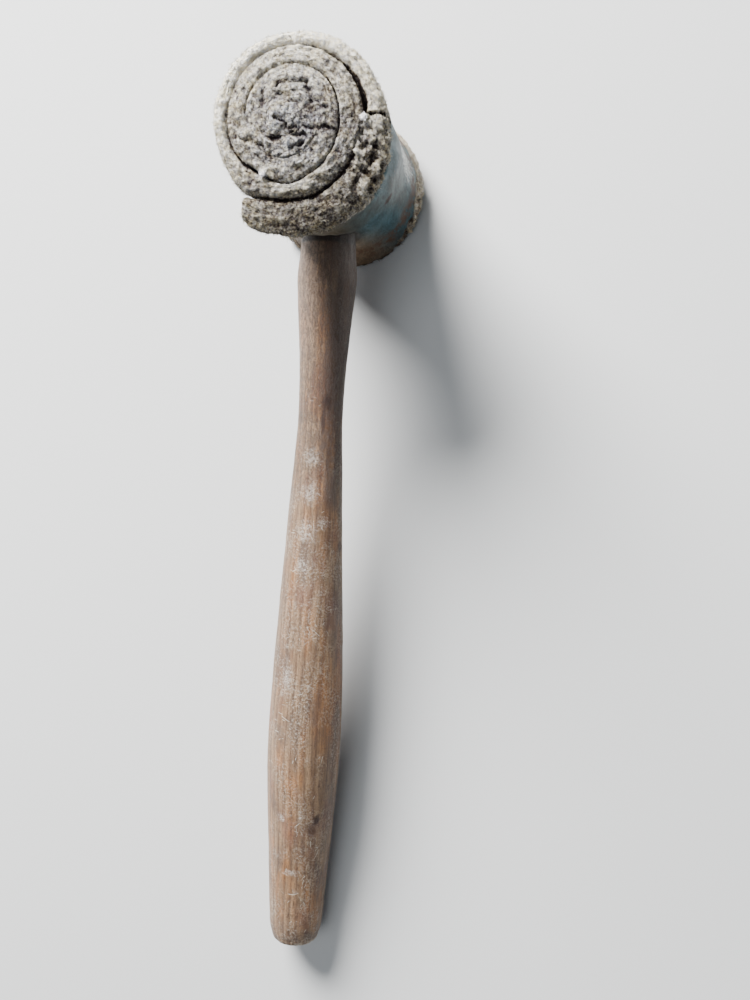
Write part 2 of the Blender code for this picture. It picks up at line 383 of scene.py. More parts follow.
CORE_CENTRE = (-5.0, 3.5)
CORE_REACH = 19.0
EYE_LIP = 2.2  # width of the hide's rounded edge where the handle goes in and comes out
EYE_DEPTH = 1.3
FLOOR_SQUASH = 1.5  # within this height of the floor, the hide's soft rim is pressed flat

TOP_AT = 112.0  # degrees round, where the head's top catches the light
SHADED_AT = -70.0
ROUGH_AT = -25.0  # the torn right side of the front face


def ridged(points, size, octaves, seed):
    """Matted lumps with sharp creases between them, from -1 in the creases to 1."""
    return 1 - 3.2 * np.abs(noise_field(points, size, octaves, seed))


def ledges(points, size, seed):
    """Torn layers: a noise that rises in steps."""
    level = noise_field(points, size, 3, seed) * 4
    return np.floor(level) + smoothstep(0.55, 1.0, level - np.floor(level))


def bell(value, width):
    return np.exp(-((value / width) ** 2))


def spots(flat, places):
    """The strongest of some round (x, y, reach) spots at each point, from 0 to 1."""
    strongest = np.zeros(len(flat))
    for x, y, size in places:
        strongest = np.maximum(strongest, bell(lengths(flat - (x, y)), size))
    return strongest


def front_dome(flat):
    """How much lower than its middle the front face lies at these (x, y) points."""
    return DOME * (lengths(flat - FRONT_CENTRE) / DOME_RADIUS) ** 2


def keep_off_floor(points):
    """Presses the lowest points, in mm in the mallet's axes, up to just above the floor."""
    up = np.array(MALLET_AXES)[2]
    height = points @ up[:3] + up[3] / MM
    squashed = FLOOR_SQUASH * np.exp(np.minimum(height / FLOOR_SQUASH - 1, 0))
    lifted = np.maximum(squashed - height, 0) * (height < FLOOR_SQUASH)
    return points + lifted[:, None] * up[:3]


def where_on_roll(points, normals, ravelled):
    """How each point lies: on which turn and side, how far from the faces and the eye."""
    at = SimpleNamespace(flat=points[:, :2], ravelled=ravelled, facing_up=normals[:, 2])
    at.from_front = np.maximum(HALF_HEAD - front_dome(at.flat) - points[:, 2], 0)
    at.from_back = HALF_HEAD + points[:, 2]
    at.turned = wrapped(ravelled + STRIP_END)
    at.top = bell(wrapped(at.turned - TOP_AT), 80)
    at.shaded = bell(wrapped(at.turned - SHADED_AT), 48)
    at.core = smoothstep(760, 1020, ravelled)
    at.outermost = smoothstep(375, 355, ravelled)
    spoke = at.flat - roll_centre(points[:, 2])
    at.outward = at.outermost * (np.einsum("ij,ij->i", normals[:, :2], spoke) > 0)
    at.open_to_air = np.maximum(smoothstep(0.25, 0.75, np.abs(at.facing_up)), at.outward)
    hole = np.where(points[:, 1] > 0, TENON_RADIUS, NECK_RADIUS)
    at.from_eye = np.hypot(points[:, 0], points[:, 2]) - hole
    return at


def frayed_relief(points, along_strip, at):
    """Streaks, lumps, creases, pebbles, torn layers and pits, in mm."""
    streaks = noise_field(along_strip * (0.2, 1.0, 0.5), 1.6, 3, 2.0)
    lumps = noise_field(points, 3.6, 3, 3.0)
    mats = ridged(points, 2.6, 3, 12.0)
    pebbles = noise_field(points, 1.7, 2, 15.0) * (1 - 0.35 * at.top * at.outermost)
    rough_side = at.outermost * bell(at.turned - ROUGH_AT, 26)
    torn = spots(at.flat, TORN_PATCHES) * smoothstep(430, 560, at.ravelled) * 0.8 + at.core * 0.15
    relief = streaks * (0.4 - 0.28 * at.top * at.outermost)
    relief += lumps * (0.3 + 0.1 * torn + 0.7 * rough_side)
    relief += pebbles * 0.4
    relief += mats * (0.05 + 0.12 * torn + 0.35 * rough_side) + ledges(points, 6.0, 14.0) * LEDGE * torn
    pits = smoothstep(0.05, 0.45, noise_field(points, 2.6, 2, 6.0)) * rough_side
    return relief - pits * 1.3


def cracks_and_tufts(points, at):
    """The core's cracks, the break across the outermost turn, and the white tufts, from 0 to 1."""
    wander = np.stack([noise_field(points, 2.2, 2, seed) for seed in (7.0, 8.0)], axis=1) * 0.9
    crack = np.zeros(len(points))
    for route in CORE_CRACKS:
        crack = np.maximum(crack, bell(distance_to(at.flat + wander, route), 0.5))
    on_face = smoothstep(3.0, 1.0, at.from_front) * smoothstep(0.3, 0.8, at.facing_up)
    crack *= on_face * smoothstep(-0.5, 0.2, noise_field(points, 4.0, 1, 13.0))
    off_break = np.radians(at.ravelled - CRACK_AT - noise_field(points, 3.0, 2, 9.0) * 2.4) * 29
    broken = bell(off_break, 0.48) * smoothstep(8.0, 3.5, at.from_front) * at.outermost
    tuft = spots(at.flat + wander * 0.6, PALE_TUFTS)
    tuft *= smoothstep(4.0, 2.0, at.from_front) * smoothstep(0.0, 0.4, at.facing_up)
    return crack, broken, tuft


def painted_light_and_shade(points, middle, at):
    """Painted light and shade on the frayed hide: lighter on the rim's top, the inner turn's top and the
    back's right, darker on the lower rim, the shaded back and the inner turns' sides, and a little darker
    in the middle.
    """
    ahead, behind = points[:, 2] > 0, points[:, 2] < 0
    on_rim = at.outermost * ahead
    # Painted light on the top of the rim, painted shade on its lower part, the flap.
    light_and_shade = 0.52 * at.top * on_rim * at.open_to_air - 0.18 * bell(wrapped(at.turned + 80), 60) * on_rim
    light_and_shade -= 0.02 * middle
    inner_top_light = 0.06 * bell(wrapped(at.turned - 100), 60)
    light_and_shade += inner_top_light * smoothstep(340, 380, at.ravelled) * (1 - at.core)
    # Painted light and shade on the back: darker on its shaded side, lighter to the right.
    light_and_shade += (0.10 - 0.43 * at.shaded + 0.12 * bell(at.turned - 15, 50)) * behind
    # Painted shade on the sides of the inner turns.
    darker = 0.10 * bell(at.turned + 10, 60) + 0.07 * bell(wrapped(at.turned - 185), 45)
    return light_and_shade - darker * smoothstep(380, 420, at.ravelled) * ahead


def shape_roll(roll, ravelled, along_strip):
    """Moves frays, lumps and cracks into the mesh, and sets what its material reads."""
    points, normals = points_and_normals(roll)
    at = where_on_roll(points, normals, ravelled)
    ragged = noise_field(points, 5.0, 3, 1.0) * 2.0
    front_fray = smoothstep(FUZZ_REACH + 1.0, FUZZ_REACH - 1.4, at.from_front + ragged)
    back_reach = BACK_FUZZ_REACH * (1 - 0.88 * at.shaded * at.outward)
    back_fray = smoothstep(back_reach + 1.0, back_reach - 1.4, at.from_back + ragged)
    fray = np.maximum(front_fray, back_fray)
    relief = frayed_relief(points, along_strip, at)
    crack, broken, tuft = cracks_and_tufts(points, at)

    hidden = (ravelled > 400) * smoothstep(6.0, 14.0, np.minimum(at.from_front, at.from_back))
    push = fray * relief + noise_field(points, 11.0, 1, 5.0) * 0.4 * (1 - fray)
    push += (1 - fray) * noise_field(points * (1.0, 1.0, 0.25), 3.0, 2, 10.0) * 0.12
    eye = at.outward * smoothstep(EYE_LIP, 0.0, at.from_eye)
    push = push * (1 - eye) - EYE_DEPTH * eye**2
    points += normals * (push * at.open_to_air * (1 - hidden))[:, None]
    points[:, 2] -= crack * 0.9 + broken * 2.8 - tuft * 0.8
    points = keep_off_floor(points)
    move_points(roll, points)

    behind = points[:, 2] < 0
    middle = bell(lengths(at.flat - CORE_CENTRE), CORE_REACH) * (points[:, 2] > 0)
    # Pale bleached patches on the back, left off its shaded side: partly painted light.
    bleached = behind * (1 - at.shaded) * smoothstep(-0.2, 0.5, noise_field(points, 7.0, 2, 11.0))
    bleached *= smoothstep(-0.4, 0.25, noise_field(points, 1.8, 3, 16.0))
    # Painted shade in the grooves, the cracks and the break: the height that the colour reads is lowered
    # there, so they colour nearly black. The colour's relief is also made stronger on the back and on the
    # lit top of the rim.
    groove_shade = smoothstep(0.5, 2.0, at.from_front) * (1 - at.outward) * (1 - 0.9 * at.core)
    relief *= np.where(behind, 2.0, 1.0) + 0.8 * at.top * (at.outermost * (points[:, 2] > 0))
    marks = {
        "fray": fray,
        "relief": relief - crack * 1.6 - broken * 4.5 - groove_shade * 2.3,
        "pale": np.clip(tuft + bleached * 0.25, 0, 1),
        # Painted light and shade.
        "light_and_shade": painted_light_and_shade(points, middle, at),
        # A painted blue cast of reflected light, strongest in the middle of the front face.
        "core_blue_cast": middle,
        # Painted shade with grime round the eye, where the handle goes into the hide.
        "shade_and_grime": np.maximum(eye, at.outward * smoothstep(6.0, 0.0, at.from_eye) * 0.6),
        "edge_stain": bell(at.from_back - 12.5 - ragged * 2.0, 5.5) * at.outermost,
    }
    for name, values in marks.items():
        set_attribute(roll, name, values)
    set_attribute(roll, "strip", along_strip, "FLOAT_VECTOR")


def tuft_roots(rng):
    """Points in mm, level with the front face, where the fibres of the white tufts stand."""
    roots = []
    for x, y, size in PALE_TUFTS:
        level = HALF_HEAD - front_dome(np.array([(x, y)]))[0] + TUFT_PROUD
        spread = rng.normal(0, size / 2.9, (TUFT_COUNT, 3)) * (1.0, 1.0, 0.4)
        roots.append(spread + (x, y, level))
    return np.concatenate(roots)


def grow_spikes(rng, root, out, in_tuft):
    """Thin curved spikes with three sides and 7 points each, from their roots."""
    count = len(root)
    middle = roll_centre(root[:, 2])
    spoke = np.concatenate([root[:, :2] - middle, np.zeros((count, 1))], axis=1)
    around = np.cross((0.0, 0.0, 1.0), unit(spoke))
    way = out * rng.uniform(0.15, 1.0, (count, 1)) + around * rng.normal(0, 0.9, (count, 1))
    way = unit(way + rng.normal(0, 0.45, (count, 3)))
    trodden = (lengths(spoke) < FACE_INTERIOR)[:, None] & ~in_tuft[:, None]
    length = np.clip(rng.lognormal(math.log(0.75), 0.4, (count, 1)), 0.3, 2.0)
    length *= np.where(trodden | in_tuft[:, None], SHORTENED, 1.0)
    width = rng.uniform(0.04, 0.09, (count, 1)) * np.where(in_tuft, TUFT_THICKENING, 1.0)[:, None]
    curl = rng.normal(0, 0.3, (count, 3)) * length
    across = unit(np.cross(way, rng.normal(0, 1, (count, 3))))
    beside = np.cross(way, across)
    rings = []
    for share, thin in ((-0.12, 1.0), (0.5, 0.8)):
        middle = root + way * length * share + curl * max(share, 0) ** 2
        for spin in (math.radians(turn) for turn in (0, 120, 240)):
            rings.append(middle + (across * math.cos(spin) + beside * math.sin(spin)) * width * thin)
    rings.append(root + way * length + curl)
    return keep_off_floor(np.stack(rings, axis=1).reshape(-1, 3))


def spike_faces(count):
    faces = []
    for base in range(0, 7 * count, 7):
        for side in range(3):
            after = (side + 1) % 3
            faces.append((base + side, base + after, base + 3 + after, base + 3 + side))
            faces.append((base + 3 + side, base + 3 + after, base + 6))
        faces.append((base + 2, base + 1, base))
    return faces


def build_fuzz(roll):
    """Loose fibres that stand out of the frayed hide, and two white tufts."""
    rng = np.random.default_rng(7)
    points, normals = points_and_normals(roll)
    names = ("fray", "relief", "pale", "light_and_shade", "core_blue_cast")
    worn = {name: read_values(roll.data.attributes[name].data, "value", 1) for name in names}
    corners = np.array([face.vertices[:3] for face in roll.data.polygons])
    area = np.array([face.area for face in roll.data.polygons])
    seen = np.minimum(np.abs(points[:, 2] - HALF_HEAD), np.abs(points[:, 2] + HALF_HEAD)) < 9
    ahead = np.where(points[:, 2] > 0, 1.0, 0.5)
    furry = worn["fray"] * seen * ahead * np.clip(worn["relief"] + 1.2, 0.1, 2.5)
    weight = area * furry[corners[:, 0]]
    chosen = corners[rng.choice(len(corners), FUZZ_COUNT, p=weight / weight.sum())]
    blend = rng.dirichlet((1, 1, 1), FUZZ_COUNT)
    tufts = tuft_roots(rng)
    root = np.concatenate([np.einsum("ij,ijk->ik", blend, points[chosen]), tufts])
    out = np.concatenate([normals[chosen[:, 0]], np.tile((0.0, 0.0, 1.0), (len(tufts), 1))])
    in_tuft = np.arange(len(root)) >= FUZZ_COUNT
    spikes = grow_spikes(rng, root, out, in_tuft)
    fuzz = mesh_object("frayed_fibres", spikes, spike_faces(len(root)))
    first = np.concatenate([chosen[:, 0], np.zeros(len(tufts), int)])
    shades = {
        "fray": (1.0, 1.0),
        "relief": (worn["relief"][first] + rng.normal(0.3, 0.5, len(root)), 1.5),
        "pale": (worn["pale"][first] * 0.8, 1.4),
        # The fibres carry the roll's painted light and shade; the tufts are painted a little lighter.
        "light_and_shade": (worn["light_and_shade"][first] + 0.05, 0.3),
        "core_blue_cast": (worn["core_blue_cast"][first], 0.0),
    }
    for name, (loose, tufted) in shades.items():
        set_attribute(fuzz, name, np.repeat(np.where(in_tuft, tufted, loose), 7))
    set_attribute(fuzz, "strip", spikes, "FLOAT_VECTOR")
    return fuzz


# --- the handle ---


def cad_points(name):
    """The points of a CAD node, in mm in the mallet's axes."""
    to_mallet = MALLET_AXES.inverted()
    return np.array([to_mallet @ vertex.co / MM for vertex in frame["nodes"][name].data.vertices])


def tube_faces(rings, columns):
    """The faces between the rings of a tube whose points come ring by ring."""
    faces = []
    for low in range(0, (rings - 1) * columns, columns):
        for column in range(columns):
            after, high = (column + 1) % columns, low + columns
            faces.append((low + column, high + column, high + after, low + after))
    return faces


HANDLE_COLUMNS = 96
HANDLE_STEP = 0.8
BUTT_CHIP_REACH = 5.0
BUTT_END = -BUTT_TO_HEAD


def handle_radius():
    """The handle's two ends, in mm past the head's axis, and its radius between them, as in the CAD."""
    rings = {}
    for x, y, z in cad_points("handle").tolist():
        rings.setdefault(round(y, 1), []).append(math.hypot(x, z))
    full = {place: max(radii) for place, radii in rings.items() if len(radii) > 30 and max(radii) > 1}
    places = sorted(full)
    return places[0], places[-1], smooth_curve([(place, full[place]) for place in places])


def build_handle():
    butt, top, radius_at = handle_radius()
    steps = round((top - butt) / HANDLE_STEP)
    places = butt + (top - butt) * np.linspace(0, 1, steps + 1)
    near_butt = butt + 11 * (1 - np.cos(np.linspace(0, math.pi / 2, 24)))
    places = np.concatenate([near_butt, places[places > butt + 11.4]])
    angles = np.linspace(0, math.tau, HANDLE_COLUMNS, endpoint=False)
    radii = radius_at(places)
    grid = np.zeros((len(places), HANDLE_COLUMNS, 3))
    grid[..., 0] = radii[:, None] * np.cos(angles)
    grid[..., 1] = places[:, None]
    grid[..., 2] = radii[:, None] * np.sin(angles)
    shares = np.array((0.03, 0.4, 0.75))[:, None, None]
    inner = shares * grid[0] + (1 - shares) * np.array((0, places[0], 0))
    outer = shares[::-1] * grid[-1] + (1 - shares[::-1]) * np.array((0, places[-1], 0))
    grid = np.concatenate([inner, grid, outer])
    faces = tube_faces(len(grid), HANDLE_COLUMNS)
    last = (len(grid) - 1) * HANDLE_COLUMNS
    faces.append(list(range(HANDLE_COLUMNS)))
    faces.append([last + column for column in reversed(range(HANDLE_COLUMNS))])
    handle = mesh_object("worn_handle", grid.reshape(-1, 3), faces)
    face_outward(handle)
    wear_handle(handle, butt)
    return handle


def wear_handle(handle, butt):
    """Raised grain, dents and a chipped edge on the butt."""
    rng = np.random.default_rng(11)
    points, normals = points_and_normals(handle)
    outside = smoothstep(-15.0, -24.0, points[:, 1])
    push = noise_field(points, 34.0, 2, 21.0) * 0.3
    push += noise_field(points * (1.0, 0.03, 1.0), 1.3, 3, 22.0) * 0.07
    push += noise_field(points, 5.0, 2, 23.0) * 0.07
    for _ in range(46):
        spin, place = rng.uniform(0, math.tau), rng.uniform(butt + 4, -60)
        size, depth = rng.uniform(0.7, 2.0), rng.uniform(0.06, 0.22)
        spot = np.array((math.cos(spin) * 10.5, place, math.sin(spin) * 10.5))
        away = lengths((points - spot) * (1.0, rng.uniform(0.3, 1.0), 1.0))
        push -= depth * bell(away, size)
    chips = smoothstep(BUTT_CHIP_REACH, 0.0, points[:, 1] - butt)
    push -= chips * np.clip(noise_field(points, 2.6, 2, 24.0), 0, 1) * 0.8
    move_points(handle, points + normals * (push * outside)[:, None])


# --- the wedge and the brads ---

WEDGE_PROUD = 0.45  # how far the driven end stands out of the tenon
WEDGE_STEPS = (44, 9)


def build_wedge():
    """The wedge, its driven end battered and a little mushroomed."""
    corners = cad_points("handle_wedge")
    (half_width, top, half_top), foot = corners.max(axis=0).tolist(), float(corners[:, 1].min())
    half_foot = float(corners[corners[:, 1] < foot + 1, 2].max())
    bm = bmesh.new()
    bmesh.ops.create_grid(bm, x_segments=WEDGE_STEPS[0], y_segments=WEDGE_STEPS[1], size=1.0)
    rim = bmesh.ops.extrude_edge_only(bm, edges=[edge for edge in bm.edges if edge.is_boundary])["geom"]
    for vertex in (element for element in rim if isinstance(element, bmesh.types.BMVert)):
        vertex.co.z = -1.0
    bmesh.ops.contextual_create(bm, geom=[edge for edge in bm.edges if edge.is_boundary])
    for vertex in bm.verts:
        x, z, level = vertex.co
        half = half_foot if level < 0 else half_top
        batter = noise.fractal(Vector((x * 7, z * 2.0, 3.0)), 1.0, 2.0, 3) * 0.35
        edge = max(abs(x), abs(z)) ** 6
        height = foot + 0.4 if level < 0 else top + WEDGE_PROUD + batter - 0.3 * edge
        vertex.co = Vector((x * half_width, height, z * half)) * MM
    mesh = bpy.data.meshes.new("driven_wedge")
    bm.to_mesh(mesh)
    bm.free()
    mesh.shade_smooth()
    mesh.set_sharp_from_angle(angle=math.radians(50))
    wedge = link_object("driven_wedge", mesh)
    wedge.matrix_world = MALLET_AXES
    face_outward(wedge)
    return wedge


BRAD_PROFILE = (
    (0.0, 0.42), (0.7, 0.36), (1.25, 0.2), (1.5, -0.05), (1.42, -0.3), (0.8, -0.4), (0.8, -3.2),
    (0.0, -4.4),
)
BRAD_COLUMNS = 20
BRADS = sum(name.startswith("seam_brad") for name in frame["nodes"])


def build_brad(number, roll_tree):
    """A brad with a domed, hammered head, driven into the roll where the CAD brad is."""
    lowest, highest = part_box(f"seam_brad_{number}")
    middle = MALLET_AXES.inverted() @ ((Vector(lowest) + Vector(highest)) / 2)
    outward = Vector((middle.x, middle.y, 0)).normalized()
    outside = middle + outward * 60 * MM
    surface, slope, _, _ = roll_tree.ray_cast(outside, -outward)
    way = (slope * 2 + outward).normalized()
    stand = Matrix.Translation(surface / MM) @ way.to_track_quat("Z", "Y").to_matrix().to_4x4()
    points = []
    for radius, height in BRAD_PROFILE[1:-1]:
        for turn in range(BRAD_COLUMNS):
            angle = math.tau * turn / BRAD_COLUMNS
            x, y = radius * math.cos(angle), radius * math.sin(angle)
            dent = 0.06 * noise.noise(Vector((x, y, number * 9.0)))
            points.append(stand @ Vector((x, y, height + dent)))
    points += [stand @ Vector((0, 0, BRAD_PROFILE[tip][1])) for tip in (0, -1)]
    rings = len(BRAD_PROFILE) - 2
    faces = tube_faces(rings, BRAD_COLUMNS)
    last = (rings - 1) * BRAD_COLUMNS
    for turn in range(BRAD_COLUMNS):
        after = (turn + 1) % BRAD_COLUMNS
        faces.append((turn, after, len(points) - 2))
        faces.append((last + after, last + turn, len(points) - 1))
    brad = mesh_object(f"rusted_brad_{number}", points, faces)
    face_outward(brad)
    return brad


# --- materials ---

# Dark marks on the handle: the place and the reach of each in mm, and how dark it is.
STAINS = (
    ((7.4, -227.0, 9.5), (1.9, 3.0, 4.0), 0.95),  # a small knot
    ((5.6, -230.5, 10.0), (2.8, 3.2, 4.0), 0.55),
    ((3.4, -79.5, 8.0), (2.6, 4.5, 4.0), 0.8),
    ((2.4, -86.0, 8.0), (1.1, 7.0, 4.0), 0.85),
    ((5.0, -94.0, 8.0), (1.4, 14.0, 4.0), 0.6),
    ((10.6, -129.5, 2.5), (2.0, 3.2, 4.0), 0.8),
    ((-9.0, -172.0, 5.0), (1.0, 1.2, 2.0), 0.7),
    ((7.8, -214.0, 9.0), (0.7, 1.1, 2.0), 0.7),
)
# Where the varnish is rubbed to a pale smudge.
PALE_RUBS = (
    ((-0.6, -98.6, 9.0), (4.6, 4.4, 5.0)),
    ((-0.3, -110.7, 9.5), (4.8, 5.5, 5.0)),
    ((-1.5, -124.0, 10.0), (5.0, 6.5, 5.0)),
    ((4.2, -121.0, 9.5), (3.0, 3.5, 5.0)),
    ((-1.9, -136.2, 10.5), (4.0, 3.5, 5.0)),
    ((-5.5, -176.0, 11.0), (3.5, 9.0, 5.0)),
    ((-4.8, -226.6, 11.0), (1.8, 2.4, 5.0)),
    ((2.0, -225.0, 12.0), (0.9, 5.0, 5.0)),
    ((-0.5, -247.0, 11.0), (5.5, 1.8, 5.0)),
)
TENON_END = 25.2
WEDGE_HALF = 1.7
PITH = (34.0, 0.0, 12.0)  # outside the handle, so the growth rings cross it nearly flat
RING = 2.3
TO_TURNED_AROUND = 11.0  # radians to mm, on a handle of middling radius
SCRATCHES = ((6.5, 5.0, 0.15), (3.7, 2.8, 0.13), (2.5, 1.8, 0.12))  # cell, length and width in mm
# Wear and painted shade along the handle: where each kind starts and where it is full, in mm past the
# head's axis.
NECK_SHADE_AND_GRIME = (-140.0, -62.0)
NECK_RUBBED_AND_LIT = (-80.0, -42.0)
NECK_WRINKLED = (-125.0, -95.0)
SHADE_UNDER_HEAD = (-60.0, -30.0)
SOCKET_SHADOW = (-26.6, -25.3)
WORN_FROM = (-75.0, -130.0)
SCRATCHED = (-60.0, -110.0)
# The hide's side takes a painted blue-green reflection this way, across and along, and is browned low at
# the back.
TEAL_WAY = (0.98, -0.2)
TEAL_FROM = (12.0, 23.0)
BROWNED_ALONG = (-15.5, -25.5)
BROWNED_UP = (8.0, -22.0)
BACK_RIM = (-26.0, -32.0)
TUFTED = (1.05, 1.3)  # paler than this, the hide is a white tuft
# Where the side's painted white glints lie, in mm.
GLINT_CENTRE = (24.0, 6.0, -13.0)
GLINT_SIZE = (10.0, 9.5, 24.0)
SLIT_CENTRE = (20.9, -11.8, 9.9)
SLIT_SIZE = (2.3, 2.3, 2.0)
EVEN = (1, 1, 1)


class Shader:
    """A node material. Calls take values or sockets and give back sockets, and tint() turns its colour."""

    def __init__(self, name):
        self.material = bpy.data.materials.new(name)
        self.material.use_nodes = True
        self.tree = self.material.node_tree

    def fill(self, node, inputs):
        for key, value in inputs.items():
            if isinstance(value, bpy.types.NodeSocket):
                self.tree.links.new(value, node.inputs[key])
            else:
                node.inputs[key].default_value = value

    def node(self, kind, inputs=None, **settings):
        """The outputs of a new node with these inputs and settings."""
        node = self.tree.nodes.new("ShaderNode" + kind)
        for name, value in settings.items():
            setattr(node, name, value)
        self.fill(node, inputs or {})
        return node.outputs

    def finish(self, **surface):
        """The material, with these inputs of its surface."""
        inputs = {name.replace("_", " "): value for name, value in surface.items()}
        self.fill(self.tree.nodes["Principled BSDF"], inputs)
        return self.material

    def mallet_axes(self):
        """Coordinates in mm in the mallet's axes."""
        inputs = {
            "Vector": self.node("TexCoord")["Object"],
            "Location": HEAD_CENTRE,
            "Rotation": MALLET_AXES.to_euler(),
            "Scale": (MM, MM, MM),
        }
        return self.node("Mapping", inputs, vector_type="TEXTURE")[0]

    def place(self, scale=(1, 1, 1), rotation=(0, 0, 0), source=None):
        """Coordinates in mm in the mallet's axes, or another source, scaled and turned by degrees."""
        if source is None:
            source = self.mallet_axes()
        turned = [math.radians(angle) for angle in rotation]
        return self.node("Mapping", {"Vector": source, "Rotation": turned, "Scale": scale})[0]

    def attribute(self, name, output="Fac"):
        return self.node("Attribute", attribute_name=name)[output]

    def noise(self, coordinates, scale, detail=4.0, roughness=0.55, distortion=0.0):
        inputs = {"Vector": coordinates, "Scale": scale, "Detail": detail}
        inputs |= {"Roughness": roughness, "Distortion": distortion}
        return self.node("TexNoise", inputs)["Fac"]

    def ramp(self, value, *stops):
        """A grey or coloured ramp from (place, colour) stops."""
        colour = self.node("ValToRGB", {"Fac": value})["Color"]
        elements = colour.node.color_ramp.elements
        while len(elements) < len(stops):
            elements.new(1.0)
        for element, (place, shade) in zip(elements, stops):
            element.position = place
            element.color = (*(shade if isinstance(shade, tuple) else 3 * (shade,)), 1.0)
        return colour

    def mix(self, share, first, second, blend="MIX"):
        first, second = ((*side, 1.0) if isinstance(side, tuple) else side for side in (first, second))
        return self.node("Mix", {0: share, 6: first, 7: second}, data_type="RGBA", blend_type=blend)[2]

    def math(self, operation, *values):
        return self.node("Math", dict(enumerate(values)), operation=operation)[0]

    def vector_math(self, operation, *values):
        return self.node("VectorMath", dict(enumerate(values)), operation=operation)

    def times(self, first, *factors):
        """The product of values and sockets."""
        for factor in factors:
            first = self.math("MULTIPLY", first, factor)
        return first

    def add(self, *terms):
        """The sum of (value, factor) terms."""
        total = 0.0
        for value, factor in terms:
            total = self.math("MULTIPLY_ADD", value, factor, total)
        return total

    def tint(self, tint, *shares, blend="MIX"):
        """Turns the colour so far towards a tint, by the product of the shares."""
        self.colour = self.mix(self.times(*shares), self.colour, tint, blend)

    def spread(self, value, low, high, to_low=0.0, to_high=1.0, smooth=True):
        inputs = dict(enumerate((value, low, high, to_low, to_high)))
        curve = "SMOOTHSTEP" if smooth else "LINEAR"
        return self.node("MapRange", inputs, interpolation_type=curve)["Result"]

    def patches(self, stretch, noise, levels, strength=1.0, weakest=0.0):
        """Patches of noise: weakest below the lower level, and of this strength above the upper one."""
        return self.spread(self.noise(self.place(stretch), *noise), *levels, weakest, strength)

    def bump(self, height, distance, strength=1.0, normal=None):
        inputs = {"Height": height, "Distance": distance * MM, "Strength": strength}
        return self.node("Bump", inputs | ({"Normal": normal} if normal else {}))["Normal"]

    def spot(self, centre, size, wobble=0.0, core=0.7):
        """1 inside an ellipsoid at this centre in mm, fading to 0 from its core to its edge."""
        inputs = {
            "Vector": self.mallet_axes(),
            "Location": [-middle / extent for middle, extent in zip(centre, size)],
            "Scale": [1 / extent for extent in size],
        }
        reach = self.vector_math("LENGTH", self.node("Mapping", inputs)[0])["Value"]
        reach = self.math("ADD", reach, self.times(self.noise(self.place(), 0.9, 3), wobble))
        return self.spread(reach, core + wobble / 2, 1.0 + wobble / 2, 1.0, 0.0)

    def scratches(self, sheet, cell, length, width, share):
        """Thin marks at every angle on an unrolled surface, at most one in each cell, sizes in mm."""
        cells = self.place((1 / cell, 1 / cell, 1), (0, 0, cell * 37), sheet)
        found = self.node("TexVoronoi", {"Vector": cells, "Scale": 1.0}, voronoi_dimensions="2D")
        chance = self.node("SeparateColor", {0: found["Color"]})
        offset = self.vector_math("SUBTRACT", cells, found["Position"])[0]
        spin = {"Vector": offset, "Angle": self.times(chance[0], math.tau)}
        turned = self.node("VectorRotate", spin, rotation_type="Z_AXIS")[0]
        run, off = self.node("SeparateXYZ", {0: turned})[:2]
        bend = self.times(run, run, self.spread(chance[2], 0, 1, -0.3, 0.3))
        off = self.math("ABSOLUTE", self.math("ADD", off, bend))
        thin = self.spread(off, 0.3 * width / cell, width / cell, 1.0, 0.0)
        run = self.math("ABSOLUTE", run)
        reach = self.spread(run, 0.25 * length / cell, 0.5 * length / cell, 1.0, 0.0)
        there = self.math("GREATER_THAN", share, chance[1])
        strength = self.times(there, self.spread(chance[2], 0.0, 1.0, 0.35, 1.0))
        return self.times(thin, reach, strength)


def frayed_colour(s, height, pale, up):
    """Struck hide, like suede: cream where it stands proud and nearly black in its creases, a colour that
    is partly the hide's own and partly painted light and shade.
    """
    s.colour = s.ramp(
        s.spread(height, 0.9, 1.79, smooth=False),
        (0.06, (0.025, 0.017, 0.018)), (0.24, (0.092, 0.077, 0.071)),
        (0.42, (0.245, 0.228, 0.2)), (0.58, (0.46, 0.44, 0.388)),
        (0.76, (0.77, 0.74, 0.64)), (1.0, (0.96, 0.94, 0.845)),
    )
    straw = s.patches(EVEN, (0.3, 4, 0.6), (0.48, 0.62), 0.35)
    s.tint((0.5, 0.42, 0.24), straw, blend="OVERLAY")
    s.tint((1.0, 0.975, 0.92), 1.0, blend="MULTIPLY")
    yellowed = s.patches(EVEN, (1.0, 4, 0.7), (0.42, 0.58))
    s.tint(s.mix(yellowed, (0.96, 0.97, 1.09), (1.05, 0.99, 0.86)), 0.8, blend="MULTIPLY")
    # Painted blue cast of reflected light on the middle of the front face.
    core_blue_cast = s.times(s.attribute("core_blue_cast"), s.patches(EVEN, (0.14, 3), (0.36, 0.58), 1.0, 0.6))
    s.tint((0.89, 0.965, 1.18), core_blue_cast, blend="MULTIPLY")
    s.tint((0.88, 0.85, 0.76), pale, 0.6)
    s.tint((0.97, 0.95, 0.97), s.spread(pale, *TUFTED))
    rusty = s.patches(EVEN, (0.7, 5, 0.75), (0.48, 0.58))
    s.tint((0.27, 0.165, 0.105), s.spread(up, *BACK_RIM), rusty, 0.65)


